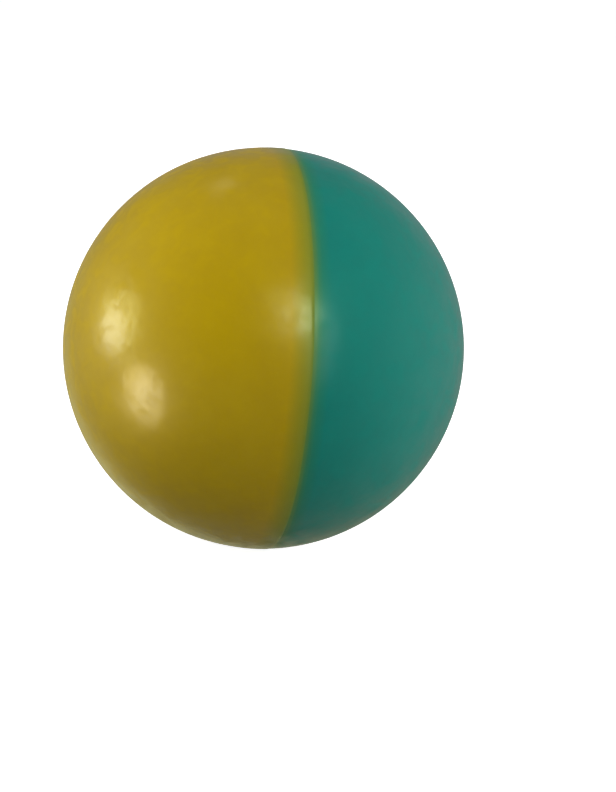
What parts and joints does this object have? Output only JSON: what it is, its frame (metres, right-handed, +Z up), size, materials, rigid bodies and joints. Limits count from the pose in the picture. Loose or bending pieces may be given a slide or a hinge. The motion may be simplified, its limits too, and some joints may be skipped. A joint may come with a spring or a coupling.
{
  "type": "miniature golf ball",
  "caption": "Smooth solid ball without dimples, lacquered half in yellow and half in teal, struck with a putter in miniature golf.",
  "frame": {"origin": "the centre of the ball", "axes": "+X along the axis that the ball was dipped on, from the yellow pole to the teal pole, square to the seam; +Z up, so that the seam stands upright; +Y completes the frame"},
  "size_m": [0.0428, 0.0428, 0.0428],
  "materials": {
    "raw_rubber": "matte",
    "primer": "matte",
    "teal_lacquer": "gloss",
    "yellow_lacquer": "gloss"
  },
  "bodies": {
    "root": {"raw_ball": "raw_rubber", "primer_coat": "primer", "teal_coat": "teal_lacquer", "yellow_coat": "yellow_lacquer"}
  },
  "joints": []
}
